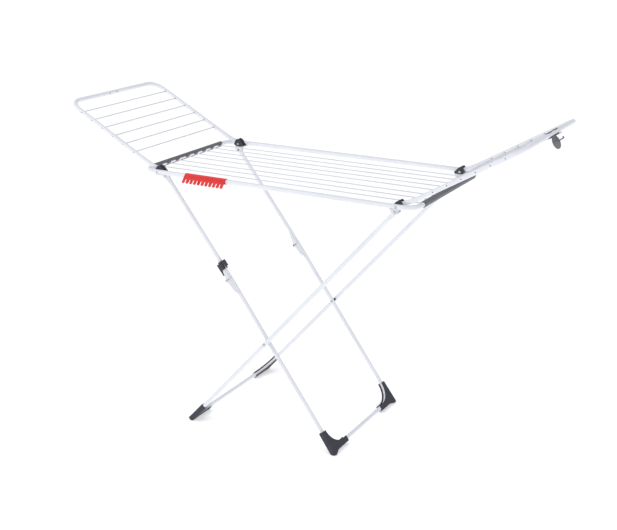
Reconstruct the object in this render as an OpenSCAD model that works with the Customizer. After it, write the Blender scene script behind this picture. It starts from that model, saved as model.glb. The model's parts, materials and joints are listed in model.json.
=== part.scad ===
// Folding clothes drying rack: a rod-filled centre frame, two hinged wings and a pair of
// crossing leg frames. X runs along the rack, Y across it, Z is up, the floor is z = 0.
// The origin is on the floor, midway between the wing hinges and midway between the rails.

/* [Centre frame] */
// Height of the rails' centre lines above the floor
rail_z = 934; // [880:1:980]
// Distance from the middle of the rack to each rail's centre line
rail_y = 265; // [240:1:320]
// Distance from the middle of the rack to each end bar's centre line
frame_x = 517; // [500:1:620]
// Bend radius of the frame's corners, on the tube's centre line
frame_bend_r = 46; // [40:1:60]
// Outside diameter of the frame tube
rail_d = 16; // [15:0.5:18]
// Wall of every tube
tube_wall = 0.8; // [0.6:0.1:1.2]

/* [Drying rods] */
// Diameter of every drying rod
rod_d = 4.2; // [3:0.1:5]
// Distance of the frame rods below the rails' centre lines
rod_drop = 1.8; // [1:0.1:2.5]
// Distance from the middle of the rack to the outermost frame rod
rod_outer_y = 187; // [180:1:190]
// Distance between neighbouring frame rods
rod_pitch = 52; // [48:1:53]

/* [Wings] */
// Distance from the middle of the rack to each wing's hinge
hinge_x = 456.5; // [450:0.5:458]
// Angle of the left wing above the horizontal
wing_tilt_left = 28; // [20:1:40]
// Angle of the right wing above the horizontal
wing_tilt_right = 30; // [20:1:40]
// Outside diameter of the wing tube
wing_d = 15; // [13:0.5:15]
// Gap between a wing arm and the rail beside it
wing_gap = 3; // [2.5:0.1:5]
// Distance from a wing's hinge to its end bar
wing_len = 447; // [440:1:452]
// Distance of a wing's tubes below its hinge line
wing_offset = 6; // [5:0.5:7]
// Bend radius of the wing's corners, on the tube's centre line
wing_bend_r = 50; // [40:1:60]
// Distance from the hinge to the first wing rod
wing_rod_first = 126; // [110:1:130]
// Distance between neighbouring wing rods
wing_rod_pitch = 51.2; // [44:0.1:53]
// Number of rods in each wing
wing_rods = 6; // [4:1:6]

/* [Legs] */
// Outside diameter of the leg tube
leg_d = 15; // [14:0.5:16]
// Distance from the middle of the rack to each pair of leg pivots
leg_pivot_x = 448; // [440:1:452]
// Distance of the leg pivots below the rails' centre lines
leg_drop = 20; // [20:0.5:24]
// Distance across from the middle of the rack to the outer leg's arms
leg_b_y = 254.3; // [235:0.1:310]
// Gap between the outer and the inner leg's arms
leg_gap = 9.7; // [8:0.1:14]
// Place of the legs' crossing along the rack
cross_x = -39; // [-60:1:-20]
// Height of the legs' crossing
cross_z = 369; // [340:1:400]
// Place of the inner leg's foot bar along the rack
foot_a_x = 216; // [200:1:240]
// Height of both foot bars' centre lines
foot_bar_z = 15; // [14.5:0.5:18]
// Bend radius of the legs' corners, on the tube's centre line
leg_bend_r = 70; // [60:1:80]
// Angle of the folded outer leg below the horizontal
fold_tilt = 2.7; // [2.5:0.1:4]

/* [Knee] */
// Distance of the knee's rivet from the leg's centre line
knee_offset = 18.6; // [17:0.1:21]
// Thickness of the knee's inner ear
ear_t = 8; // [6:0.5:9]
// Length of tube held by each knee saddle
saddle_len = 50; // [40:1:55]
// Thickness of the knee's pressed steel
knee_plate = 1.6; // [1.2:0.1:2]

/* [Feet] */
// Thickness of the foot shell's side walls
foot_wall = 2; // [1.5:0.1:2.5]
// Length of foot shell beyond each end of the corner bend
foot_reach = 26; // [10:1:30]
// Length of the toe beyond the foot bar's centre line
toe_len = 20; // [19:0.5:24]
// Thickness of the soft pads on the toe
pad_t = 2.4; // [2:0.1:3]

/* [Hinges and rivets] */
// Diameter of every rivet's shank
rivet_d = 5; // [4:0.1:5.5]
// Diameter of a rivet's head
rivet_head_d = 9; // [7:0.5:10]
// Height of a rivet's head
rivet_head_t = 1.8; // [1.2:0.1:2.5]
// Gap between a turning eye and each cheek beside it
cheek_gap = 0.3; // [0.2:0.05:0.5]
// Thickness of the sheet-steel leg brackets
bracket_t = 1.8; // [1.5:0.1:2]
// Thickness of a leg tube's flattened end
leg_eye_t = 9; // [8:0.5:10]
// Thickness of a wing arm's flattened end
wing_eye_t = 10; // [8:0.5:10]

/* [Accessories] */
// Distance from the middle of the rack to each end strip's ends
strip_y = 205; // [195:1:208]
// Wall of the end strips
strip_wall = 2.2; // [1.8:0.1:3]
// Length of the clip for small items
clip_len = 166; // [120:1:200]
// Place of the small-items clip's middle along its rail
clip_x = -254; // [-300:1:-200]
// Number of slots in the small-items clip
clip_slots = 10; // [6:1:12]
// Length of the hanger holder's grip on the wing's end bar
holder_len = 95; // [70:1:110]
// Length of the hanger holder's peg beyond its paddle
peg_len = 74; // [40:1:80]
// Angle from the hanger holder's paddle to the wing's normal
holder_swing = 3; // [0:1:30]

/* [Hidden] */
$fn = 48;

// Colours
white_c = [0.90, 0.91, 0.93];
rod_c = [0.88, 0.89, 0.92];
dark_c = [0.22, 0.23, 0.26];
strip_c = [0.45, 0.46, 0.49];
steel_c = [0.72, 0.73, 0.75];
red_c = [0.86, 0.16, 0.15];
orange_c = [0.88, 0.48, 0.20];

// Clearances and small shared sizes
slip = 0.05;                 // radial room round a pin, rod or tube in its hole
part_gap = 0.4;              // room between a moving piece and its neighbour
head_sink = 0.7;             // depth of the flat that a rivet head beds in on a rail
crimp_len = 18;              // length over which a round tube turns into a flat end

// Frame
rail_r = rail_d / 2;
rail_straight = frame_x - frame_bend_r;
rod_z = rail_z - rod_drop;
frame_rod_y = [for (i = [0 : 7])
    i < 5 ? rod_outer_y - i * rod_pitch : -rod_outer_y + (7 - i) * rod_pitch];

// End strips: angles round the end bar, from its outboard side over the top
strip_low_a = -122;
strip_edge_a = 167;
finger_end_a = 206;
finger_half = 13;            // half the width of a finger

// Wings
wing_r = wing_d / 2;
wing_y = rail_y - rail_r - wing_gap - wing_r;
wing_eye_r = 7;
wing_flat_len = 24;
wing_tube_start = wing_flat_len + crimp_len;
rod_inset = 0.8;             // how far a rod's end stays inside its arm's outer face
bar_hole_y = [-33, 7];       // places of the two small holes in the left wing's end bar

// Wing brackets: inner cheek face, outer cheek face beside the rail, and height over the hinge
bracket_cheek = 8.3;         // thickness of the inner cheek
bracket_in_y = wing_y - wing_eye_t / 2 - cheek_gap - bracket_cheek;
bracket_out_y = rail_y - 3;
bracket_low = rail_r - 0.2;
bracket_high = 19;

// Legs
leg_r = leg_d / 2;
leg_a_y = leg_b_y - leg_d - leg_gap;
pivot_z = rail_z - leg_drop;
leg_eye_r = 8.3;
leg_flat_len = 16;
leg_tube_start = leg_flat_len + crimp_len;
cheek_y = leg_eye_t / 2 + cheek_gap;

// Outer leg: straight from its pivot through the crossing to its foot bar
b_dir = atan2(cross_z - pivot_z, cross_x - leg_pivot_x);
b_cross = norm([leg_pivot_x - cross_x, pivot_z - cross_z]);
b_len = b_cross * (pivot_z - foot_bar_z) / (pivot_z - cross_z);

// Inner leg below the knee: straight through the crossing to its foot bar
a_dir = atan2(foot_bar_z - cross_z, foot_a_x - cross_x);
a_below = norm([foot_a_x - cross_x, cross_z - foot_bar_z]);

// The knee's rivet sits where the legs close when the outer leg lies at fold_tilt and the
// lower half of the inner leg lies level: knee_up is its distance above the crossing.
fold_cross = [leg_pivot_x - b_cross * cos(fold_tilt), pivot_z - b_cross * sin(fold_tilt)];
fold_u = [fold_cross.x + leg_pivot_x, fold_cross.y + knee_offset - pivot_z];
rest_c = [cross_x + knee_offset * sin(a_dir) + leg_pivot_x,
          cross_z - knee_offset * cos(a_dir) - pivot_z];
rest_g = [-cos(a_dir), -sin(a_dir)];
knee_up = (fold_u * fold_u - rest_c * rest_c) / (2 * (rest_c * rest_g - fold_u.x));
knee_x = cross_x - knee_up * cos(a_dir);
knee_z = cross_z - knee_up * sin(a_dir);
a_len = knee_up + a_below;

// Inner leg above the knee: from its pivot to the butt joint at the knee
u_dir = atan2(knee_z - pivot_z, knee_x + leg_pivot_x);
u_len = norm([knee_x + leg_pivot_x, knee_z - pivot_z]);
knee_butt = 0.4;             // gap between the two tube ends at the knee
knee_eye_r = 6;
fork_in = ear_t / 2 + cheek_gap;

// Feet, measured from the arm's and the foot bar's centre lines
foot_edge = leg_r + 3;       // inner and lower edges of the shell
toe_out = leg_r + 5;         // outer edge of the shell at the toe
foot_half_t = leg_r + foot_wall;

// Small-items clip: teeth and slots are shared out along its length
clip_wall = 1.8;
clip_bed = 0.15;             // depth of the skirt's faces inside the C's wall
clip_pip_h = 0.4;            // height of the pips over the skirt
clip_drop_a = 48;            // slope of the toothed skirt below the horizontal
clip_skirt = 33;             // width of the skirt
clip_tooth_share = 0.72;     // part of the pitch taken up by a tooth
clip_pitch = clip_len / (clip_slots + clip_tooth_share);
clip_tooth_half = clip_pitch * clip_tooth_share / 2;
clip_slot_half = clip_pitch / 2 - clip_tooth_half;
clip_slot_top = clip_skirt * 0.58;
clip_pip_y = clip_slot_top - clip_slot_half * 2.6;

// Place of slot i along the small-items clip
function clip_slot_x(i) = (i - (clip_slots - 1) / 2) * clip_pitch;

// Hanger holder: angles round the end bar, from its outboard side over the top
holder_wall = 2;
holder_y = -2.5;             // middle of its grip
grip_top_a = 78;
grip_low_a = 282;
tongue_a = 52;
ledge_reach = 10;            // ledge's edge outboard of the bar's centre line
paddle_w = 24;
paddle_h = 44;
paddle_t = 2.6;
peg_t = 3.6;

// ---------------------------------------------------------------- helpers

// Puts its children in a frame whose x axis leaves [x, z] at angle a above the horizontal
module in_plane(x, z, a) {
    translate([x, 0, z]) rotate([0, -a, 0]) children();
}

// Bar along x from x0 to x1
module rod_x(x0, x1, r) {
    translate([x0, 0, 0]) rotate([0, 90, 0]) cylinder(h = x1 - x0, r = r);
}

// Bar along y from y0 to y1
module rod_y(y0, y1, r) {
    translate([0, y0, 0]) rotate([-90, 0, 0]) cylinder(h = y1 - y0, r = r);
}

// Open tube along x
module tube_x(x0, x1, r) {
    difference() {
        rod_x(x0, x1, r);
        rod_x(x0 - 1, x1 + 1, r - tube_wall);
    }
}

// Open tube along y
module tube_y(y0, y1, r) {
    difference() {
        rod_y(y0, y1, r);
        rod_y(y0 - 1, y1 + 1, r - tube_wall);
    }
}

// Outline in the x-z plane given a thickness along y, from y0 to y1
module slab_y(y0, y1) {
    translate([0, y1, 0]) rotate([90, 0, 0]) linear_extrude(y1 - y0) children();
}

// Quarter bend in the x-y plane, centred at the origin, from the +x side to the +y side
module bend(bend_r, r) {
    rotate_extrude(angle = 90) translate([bend_r, 0]) circle(r);
}

// Part of a ring from angle a0 to angle a1, counted from the outboard side over the top
module arc_shell(r_in, r_out, a0, a1) {
    steps = 6;
    angles = [for (i = [0 : steps]) a0 + (a1 - a0) * i / steps];
    intersection() {
        difference() {
            circle(r_out);
            circle(r_in);
        }
        polygon(concat([[0, 0]], [for (a = angles) 2 * r_out * [cos(a), sin(a)]]));
    }
}

// End bar of a tube frame in the x-y plane: a straight bar at x = len with a bend at each end
module u_end(len, half_y, bend_r, r) {
    translate([len, 0, 0]) tube_y(-half_y + bend_r, half_y - bend_r, r);
    for (s = [-1, 1]) mirror([0, s < 0 ? 1 : 0, 0]) translate([len - bend_r, half_y - bend_r, 0])
        difference() {
            bend(bend_r, r);
            bend(bend_r, r - tube_wall);
        }
}

// Squeezed end of a tube along x: flat_t thick and 2 * flat_half high, turning round at x = crimp_len
module crimp(flat_t, flat_half, r) {
    intersection() {
        rotate([0, 90, 0]) cylinder(h = crimp_len, r1 = norm([flat_t / 2, flat_half]), r2 = r);
        translate([0, 0, -2 * r]) linear_extrude(4 * r)
            polygon([[0, -flat_t / 2], [crimp_len, -r - 1], [crimp_len, r + 1], [0, flat_t / 2]]);
        slab_y(-2 * r, 2 * r)
            polygon([[0, -flat_half], [crimp_len, -r - 0.01], [crimp_len, r + 0.01], [0, flat_half]]);
    }
}

// Rivet along y with a low conical head outside each of its two faces
module rivet(y0, y1) {
    rod_y(y0, y1, rivet_d / 2);
    for (f = [[y1, 0], [-y0, 1]]) mirror([0, f[1], 0]) translate([0, f[0], 0]) rotate([-90, 0, 0])
        cylinder(h = rivet_head_t, r1 = rivet_head_d / 2, r2 = rivet_head_d / 3);
}

// Copies its children to the near (-y) side when side is -1, and leaves them when it is 1
module on_side(side) {
    mirror([0, side < 0 ? 1 : 0, 0]) children();
}

// ---------------------------------------------------------------- centre frame

module rail(side) {
    color(white_c) on_side(side) translate([0, rail_y, rail_z]) difference() {
        tube_x(-rail_straight, rail_straight, rail_r);
        for (x = [-hinge_x, hinge_x]) translate([x, 0, 0]) {
            rod_y(-rail_d, rail_d, rivet_d / 2 + slip);
            rod_y(rail_r - head_sink, rail_d, rivet_head_d / 2 + slip);
        }
    }
}

module end_bar(side) {
    color(white_c) mirror([side < 0 ? 1 : 0, 0, 0]) translate([0, 0, rail_z]) difference() {
        u_end(frame_x, rail_y, frame_bend_r, rail_r);
        for (y = frame_rod_y) translate([0, y, -rod_drop])
            rod_x(frame_x - rail_d, frame_x, rod_d / 2 + slip);
    }
}

module frame_rod(i) {
    color(rod_c) translate([0, frame_rod_y[i], rod_z]) rod_x(-frame_x, frame_x, rod_d / 2);
}

// Shell round an end bar, open on its inner side, with a rounded finger over each rod
module end_strip(side) {
    in_r = rail_r + slip;
    out_r = in_r + strip_wall;
    color(strip_c) mirror([side < 0 ? 1 : 0, 0, 0]) translate([frame_x, 0, rail_z]) difference() {
        union() {
            slab_y(-strip_y, strip_y) arc_shell(in_r, out_r, strip_low_a, strip_edge_a);
            for (y = frame_rod_y) translate([0, y, 0]) intersection() {
                slab_y(-finger_half, finger_half)
                    arc_shell(in_r, out_r, strip_edge_a - 6, finger_end_a);
                translate([0, 0, rod_d]) rod_x(-2 * out_r, 0, finger_half - 1);
            }
        }
        for (y = frame_rod_y) translate([0, y, -rod_drop]) {
            rod_x(-rail_d, 0, rod_d / 2 + slip);
            translate([-rail_d, -rod_d / 2 - slip, -rail_d]) cube([rail_d, rod_d + 2 * slip, rail_d]);
        }
    }
}

// ---------------------------------------------------------------- wing hinges

// Outline of a wing bracket round its hinge, inboard side towards -x
module wing_bracket_outline() {
    polygon([[-16, -bracket_low], [-21, -3], [-5, 14], [5, bracket_high], [10, 14], [18.5, -2],
             [8.5, -bracket_low]]);
}

// Everything on the +z side of a wing arm's underside, in the arm's own plane
module over_wing_eye(shrink) {
    run = 4 * wing_flat_len;
    drop = (wing_offset + wing_r - wing_eye_r) / wing_flat_len;
    polygon([[0, -wing_eye_r - shrink], [run, -wing_eye_r - shrink - run * drop], [run, run],
             [-run, run], [-run, -wing_eye_r - shrink]]);
}

module wing_bracket(end, side, tilt) {
    slot_in = wing_y - wing_eye_t / 2 - cheek_gap;
    slot_out = wing_y + wing_eye_t / 2 + cheek_gap;
    color(dark_c) mirror([end < 0 ? 1 : 0, 0, 0]) on_side(side) translate([hinge_x, 0, rail_z])
        difference() {
            slab_y(bracket_in_y, bracket_out_y) wing_bracket_outline();
            // slot for the arm's flat end, from its open stop to its folded place
            slab_y(slot_in, slot_out) union() {
                circle(wing_eye_r + part_gap);
                intersection() {
                    rotate(tilt) over_wing_eye(part_gap);
                    mirror([1, 0]) over_wing_eye(part_gap);
                }
            }
            translate([0, rail_y, 0]) rod_x(-60, 60, rail_r + slip);
            translate([rail_straight - hinge_x, rail_y - frame_bend_r, 0])
                bend(frame_bend_r, rail_r + slip);
            rod_y(bracket_in_y - 1, rail_y, rivet_d / 2 + slip);
        }
}

module wing_hinge_rivets() {
    color(steel_c) for (x = [-hinge_x, hinge_x], side = [-1, 1]) on_side(side)
        translate([x, 0, rail_z]) rivet(bracket_in_y, rail_y + rail_r - head_sink);
}

// ---------------------------------------------------------------- wings

module wing_arm(end, side, tilt) {
    color(white_c) mirror([end < 0 ? 1 : 0, 0, 0]) on_side(side)
        in_plane(hinge_x, rail_z, tilt) difference() {
            translate([0, wing_y, 0]) union() {
                slab_y(-wing_eye_t / 2, wing_eye_t / 2) {
                    circle(wing_eye_r);
                    polygon([[0, wing_eye_r], [wing_flat_len, wing_r - wing_offset],
                             [wing_flat_len, -wing_r - wing_offset], [0, -wing_eye_r]]);
                }
                translate([0, 0, -wing_offset]) {
                    translate([wing_flat_len, 0, 0]) crimp(wing_eye_t, wing_r, wing_r);
                    tube_x(wing_tube_start, wing_len - wing_bend_r, wing_r);
                }
            }
            rod_y(0, rail_y, rivet_d / 2 + slip);
            for (i = [0 : wing_rods - 1]) translate([wing_rod_first + i * wing_rod_pitch, 0, -wing_offset])
                rod_y(0, rail_y, rod_d / 2 + slip);
        }
}

module wing_end_bar(end, tilt) {
    hole_r = 2;
    color(white_c) mirror([end < 0 ? 1 : 0, 0, 0]) in_plane(hinge_x, rail_z, tilt)
        translate([0, 0, -wing_offset]) difference() {
            u_end(wing_len, wing_y, wing_bend_r, wing_r);
            if (end < 0) for (y = bar_hole_y) translate([wing_len, y, 0])
                rod_x(-wing_d, 0, hole_r);
        }
}

module wing_rod_set(end, tilt) {
    color(rod_c) mirror([end < 0 ? 1 : 0, 0, 0]) in_plane(hinge_x, rail_z, tilt)
        for (i = [0 : wing_rods - 1]) translate([wing_rod_first + i * wing_rod_pitch, 0, -wing_offset])
            rod_y(-wing_y - wing_r + rod_inset, wing_y + wing_r - rod_inset, rod_d / 2);
}

// ---------------------------------------------------------------- leg brackets

// Inverted U of sheet steel under a rail, whose cheeks hold the flat end of a leg at leg_y
module leg_bracket(end, side, leg_y) {
    web_top = leg_drop - rail_r;
    web_low = web_top - bracket_t;
    half_x = 15;
    in_y = leg_y - cheek_y - bracket_t;
    color(white_c) mirror([end < 0 ? 1 : 0, 0, 0]) on_side(side) translate([leg_pivot_x, 0, pivot_z])
        difference() {
            union() {
                translate([-half_x, in_y, web_low]) cube([2 * half_x, rail_y + 6 - in_y, bracket_t]);
                translate([-half_x, bracket_out_y + part_gap, web_low])
                    cube([2 * half_x, rail_y + 6 - bracket_out_y - part_gap, bracket_t + 1.5]);
                for (y = [in_y, leg_y + cheek_y]) slab_y(y, y + bracket_t) {
                    circle(leg_eye_r + 1.2);
                    polygon([[-half_x, web_top], [half_x, web_top], [half_x, 1], [7, -7], [-7, -7],
                             [-half_x, 1]]);
                }
            }
            translate([0, rail_y, leg_drop]) rod_x(-60, 60, rail_r + slip);
            rod_y(in_y - 1, leg_y + 2 * cheek_y, rivet_d / 2 + slip);
            if (end > 0) bracket_spacer_place() rod_y(in_y - 1, leg_y + 2 * cheek_y, 2 + slip);
        }
}

module bracket_spacer_place() {
    translate([11.5, 0, 1.5]) children();
}

module leg_pivot_rivets() {
    color(steel_c) for (end = [-1, 1], side = [-1, 1]) {
        leg_y = end < 0 ? leg_a_y : leg_b_y;
        on_side(side) translate([end * leg_pivot_x, 0, pivot_z])
            rivet(leg_y - cheek_y - bracket_t, leg_y + cheek_y + bracket_t);
    }
}

// Second, thinner rivet that holds the outer leg's bracket cheeks apart
module bracket_spacer_rivets() {
    reach = cheek_y + bracket_t;
    color(steel_c) for (side = [-1, 1]) on_side(side) translate([leg_pivot_x, leg_b_y, pivot_z])
        bracket_spacer_place() {
            rod_y(-reach, reach, 2);
            for (s = [0, 1]) mirror([0, s, 0]) translate([0, reach, 0]) rotate([-90, 0, 0])
                cylinder(h = 1.2, r1 = 3.2, r2 = 2.2);
        }
}

// ---------------------------------------------------------------- leg tubes

// Flat eye of a leg tube at the origin, blending into a round tube along +x
module leg_eye() {
    slab_y(-leg_eye_t / 2, leg_eye_t / 2) {
        circle(leg_eye_r);
        translate([0, -leg_eye_r]) square([leg_flat_len, 2 * leg_eye_r]);
    }
    translate([leg_flat_len, 0, 0]) crimp(leg_eye_t, leg_eye_r, leg_r);
}

module outer_leg_arm(side) {
    color(white_c) on_side(side) in_plane(leg_pivot_x, pivot_z, b_dir) difference() {
        translate([0, leg_b_y, 0]) {
            leg_eye();
            tube_x(leg_tube_start, b_len - leg_bend_r, leg_r);
        }
        rod_y(0, 2 * leg_b_y, rivet_d / 2 + slip);
        translate([b_cross, 0, 0]) rod_y(0, 2 * leg_b_y, 3 + slip);
    }
}

module outer_leg_foot_bar() {
    color(white_c) in_plane(leg_pivot_x, pivot_z, b_dir) u_end(b_len, leg_b_y, leg_bend_r, leg_r);
}

module inner_leg_upper(side) {
    color(white_c) on_side(side) in_plane(-leg_pivot_x, pivot_z, u_dir) difference() {
        translate([0, leg_a_y, 0]) {
            leg_eye();
            tube_x(leg_tube_start, u_len - knee_butt, leg_r);
        }
        rod_y(0, 2 * leg_a_y, rivet_d / 2 + slip);
    }
}

module inner_leg_arm(side) {
    color(white_c) on_side(side) in_plane(knee_x, knee_z, a_dir) difference() {
        translate([0, leg_a_y, 0]) tube_x(knee_butt, a_len - leg_bend_r, leg_r);
        translate([knee_up, 0, 0]) rod_y(0, 2 * leg_a_y, 3 + slip);
    }
}

module inner_leg_foot_bar() {
    color(white_c) in_plane(knee_x, knee_z, a_dir) u_end(a_len, leg_a_y, leg_bend_r, leg_r);
}

// ---------------------------------------------------------------- crossing

// Bolt through the outer leg's arm. The far side of this pivot is open: see the nuts.
module crossing_bolts() {
    color(steel_c) for (side = [-1, 1]) on_side(side) in_plane(leg_pivot_x, pivot_z, b_dir)
        translate([b_cross, leg_b_y, 0]) {
            rod_y(-leg_r - leg_gap + part_gap, leg_r + 1, 3);
            translate([0, leg_r + slip, 0]) rotate([-90, 0, 0]) cylinder(h = 2.4, r1 = 5.5, r2 = 3.5);
        }
}

module crossing_spacers() {
    color(dark_c) for (side = [-1, 1]) on_side(side) in_plane(leg_pivot_x, pivot_z, b_dir)
        translate([b_cross, leg_b_y, 0]) difference() {
            rod_y(-leg_r - leg_gap + part_gap, -leg_r + 1, 5.5);
            rod_y(-leg_d - leg_gap, 0, 3 + slip);
            rod_x(-20, 20, leg_r + slip);
        }
}

// Closed end of the crossing bolt, on the inner leg's arm
module crossing_nuts() {
    color(steel_c) for (side = [-1, 1]) on_side(side) in_plane(knee_x, knee_z, a_dir)
        translate([knee_up, leg_a_y, 0]) {
            rod_y(-leg_r - 1, leg_r - 0.6, 3);
            translate([0, -leg_r - slip, 0]) rotate([90, 0, 0]) cylinder(h = 2.4, r1 = 5.5, r2 = 3.5);
        }
}

// ---------------------------------------------------------------- knee

// Half saddle on the underside of a leg tube, from x0 to x1
module saddle(x0, x1) {
    difference() {
        rod_x(x0, x1, leg_r + knee_plate);
        rod_x(x0 - 1, x1 + 1, leg_r + slip);
        translate([x0 - 1, -leg_d, 2]) cube([x1 - x0 + 2, 2 * leg_d, leg_d]);
    }
}

// Outline from the knee's rivet up into a saddle that spans x0 to x1 along the tube
module knee_outline(x0, x1) {
    saddle_z = knee_offset - leg_r - knee_plate;
    circle(knee_eye_r);
    polygon([[-knee_eye_r, 0], [knee_eye_r, 0], [x1, saddle_z - 1.5], [x1, saddle_z + knee_plate - 0.4],
             [x0, saddle_z + knee_plate - 0.4], [x0, saddle_z - 1.5]]);
}

// Inner half of the knee, on the upper tube: one ear that turns between the fork's cheeks
module knee_ear(side) {
    color(white_c) on_side(side) translate([0, leg_a_y, 0]) difference() {
        union() {
            in_plane(-leg_pivot_x, pivot_z, u_dir) saddle(u_len - saddle_len, u_len - 2);
            knee_place() rotate([0, a_dir - u_dir, 0])
                slab_y(-ear_t / 2, ear_t / 2) knee_outline(8 - saddle_len, -4);
        }
        knee_place() rod_y(-20, 20, rivet_d / 2 + slip);
    }
}

// Outer half of the knee, on the lower tube: two cheeks that carry the rivet
module knee_fork(side) {
    color(white_c) on_side(side) translate([0, leg_a_y, 0]) difference() {
        union() {
            in_plane(knee_x, knee_z, a_dir) saddle(2, saddle_len + 8);
            knee_place() for (y = [fork_in, -fork_in - knee_plate])
                slab_y(y, y + knee_plate) knee_outline(4, saddle_len);
        }
        knee_place() rod_y(-20, 20, rivet_d / 2 + slip);
    }
}

// Puts its children at the knee's rivet, turned to the lower half of the leg
module knee_place() {
    in_plane(knee_x, knee_z, a_dir) translate([0, 0, -knee_offset]) children();
}

module knee_rivets() {
    color(steel_c) for (side = [-1, 1]) on_side(side) translate([0, leg_a_y, 0]) knee_place()
        rivet(-fork_in - knee_plate, fork_in + knee_plate);
}

// Sliding lock on the near knee: a collar on the upper tube with a thumb block and two prongs
module knee_lock() {
    in_r = leg_r + knee_plate + part_gap;
    out_r = in_r + 2;
    body = [-68, -38];
    color(dark_c) on_side(-1) translate([0, leg_a_y, 0]) in_plane(-leg_pivot_x, pivot_z, u_dir)
        translate([u_len, 0, 0]) {
            difference() {
                union() {
                    rod_x(body[0], body[1], out_r);
                    translate([body[0] + 4, -7, -out_r - 7]) cube([body[1] - body[0] - 4, 14, 12]);
                }
                rod_x(body[0] - 1, body[1] + 1, in_r);
                translate([body[0] - 1, -6, 0]) cube([body[1] - body[0] + 2, 12, leg_d]);
                translate([body[0] + 6, -5, -out_r - 5]) cube([body[1] - body[0], 10, 12]);
            }
            // prong on the rivet's side
            translate([body[1] - 2, -6, -out_r - 7]) cube([20, 12, 2]);
            // release tab standing off the upper side
            for (y = [-8.5, 6.5]) translate([body[0], y, in_r - 4.5]) cube([4, 2, 8]);
            translate([body[0], -8.5, in_r + 3.5]) cube([24, 17, 2.2]);
        }
}

// ---------------------------------------------------------------- feet

// Shell outline in a leg's plane for the +y corner: x along the leg, y outwards
module foot_outline(len, leg_y) {
    top = len - leg_bend_r - 2;
    tail = leg_y - leg_bend_r - foot_reach;
    difference() {
        polygon([[top, leg_y - foot_edge], [top, leg_y + foot_edge], [len + 6, leg_y + toe_out],
                 [len + toe_len - 3, leg_y + toe_out], [len + toe_len, leg_y + toe_out - 4],
                 [len + toe_len, leg_y + 2], [len + toe_len - 2, leg_y - 2],
                 [len + foot_edge + 3, leg_y - 12], [len + foot_edge, leg_y - 20],
                 [len + foot_edge, tail], [len - foot_edge, tail], [top, tail]]);
        translate([len - leg_bend_r, leg_y - leg_bend_r]) circle(leg_bend_r - foot_edge, $fn = 96);
        translate([top - 1, -1]) square([leg_bend_r - foot_edge + 3, leg_y - leg_bend_r + 1]);
        translate([top - 1, -1]) square([3, leg_y - foot_edge + 1]);
    }
}

// Place of the soft pad on the toe
module pad_outline(len, leg_y) {
    translate([len + 7.5, leg_y + 0.5]) square([toe_len, toe_out]);
}

// Room for the tube, open towards the inside of the corner
module foot_channel(len, leg_y) {
    bore = leg_r + slip;
    c = [len - leg_bend_r, leg_y - leg_bend_r];
    translate([0, leg_y, 0]) rod_x(c.x - 20, c.x, bore);
    translate([len, 0, 0]) rod_y(c.y - 60, c.y, bore);
    translate([c.x, c.y, 0]) bend(leg_bend_r, bore);
    translate([0, 0, -bore]) linear_extrude(2 * bore) {
        translate(c) circle(leg_bend_r, $fn = 96);
        translate([c.x - 20, leg_y - 40]) square([20, 40]);
        translate([len - 40, c.y - 60]) square([40, 60]);
    }
}

module foot(len, leg_y, pads) {
    difference() {
        translate([0, 0, -foot_half_t]) linear_extrude(2 * foot_half_t) foot_outline(len, leg_y);
        foot_channel(len, leg_y);
        for (s = pads) mirror([0, 0, s < 0 ? 1 : 0]) translate([0, 0, foot_half_t - pad_t + 1])
            linear_extrude(pad_t) pad_outline(len, leg_y);
    }
}

module foot_pad(len, leg_y, s) {
    mirror([0, 0, s < 0 ? 1 : 0]) translate([0, 0, foot_half_t - pad_t + 1])
        linear_extrude(pad_t) intersection() {
            pad_outline(len, leg_y);
            foot_outline(len, leg_y);
        }
}

// Cuts its children off level with the floor
module above_floor() {
    difference() {
        children();
        translate([-1000, -500, -60]) cube([2000, 1000, 60]);
    }
}

// The outer leg's underside is its +z side, the inner leg's underside its -z side
module outer_foot(side) {
    color(dark_c) above_floor() on_side(side) in_plane(leg_pivot_x, pivot_z, b_dir)
        foot(b_len, leg_b_y, [-1, 1]);
}

module outer_foot_pads() {
    color(orange_c) above_floor() for (side = [-1, 1], s = [-1, 1]) on_side(side)
        in_plane(leg_pivot_x, pivot_z, b_dir) foot_pad(b_len, leg_b_y, s);
}

module inner_foot(side) {
    color(dark_c) above_floor() on_side(side) in_plane(knee_x, knee_z, a_dir)
        foot(a_len, leg_a_y, [-1]);
}

module inner_foot_pads() {
    color(orange_c) above_floor() for (side = [-1, 1]) on_side(side)
        in_plane(knee_x, knee_z, a_dir) foot_pad(a_len, leg_a_y, -1);
}

// ---------------------------------------------------------------- accessories

// Clip that snaps on the near rail, with a toothed skirt sloping outwards and down
module small_items_clip() {
    in_r = rail_r + 0.3;
    out_r = in_r + clip_wall;
    color(red_c) translate([clip_x, -rail_y, rail_z]) {
        // C round the rail, open below on the inner side
        translate([-clip_len / 2, 0, 0]) rotate([90, 0, 90]) linear_extrude(clip_len) difference() {
            circle(out_r);
            circle(in_r);
            polygon([[0, 0], [0, -3 * out_r], [3 * out_r, -3 * out_r], [3 * out_r, 0]]);
        }
        // skirt: bedded in the wall at the top of the C, sloping down away from the rack
        rotate([clip_drop_a, 0, 0]) translate([0, 0, in_r + clip_bed]) {
            linear_extrude(clip_wall - 2 * clip_bed) clip_skirt_outline();
            for (i = [0 : clip_slots - 1]) translate([clip_slot_x(i), -clip_pip_y, 0])
                cylinder(h = clip_wall + clip_pip_h, r = clip_slot_half * 0.6);
        }
    }
}

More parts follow.
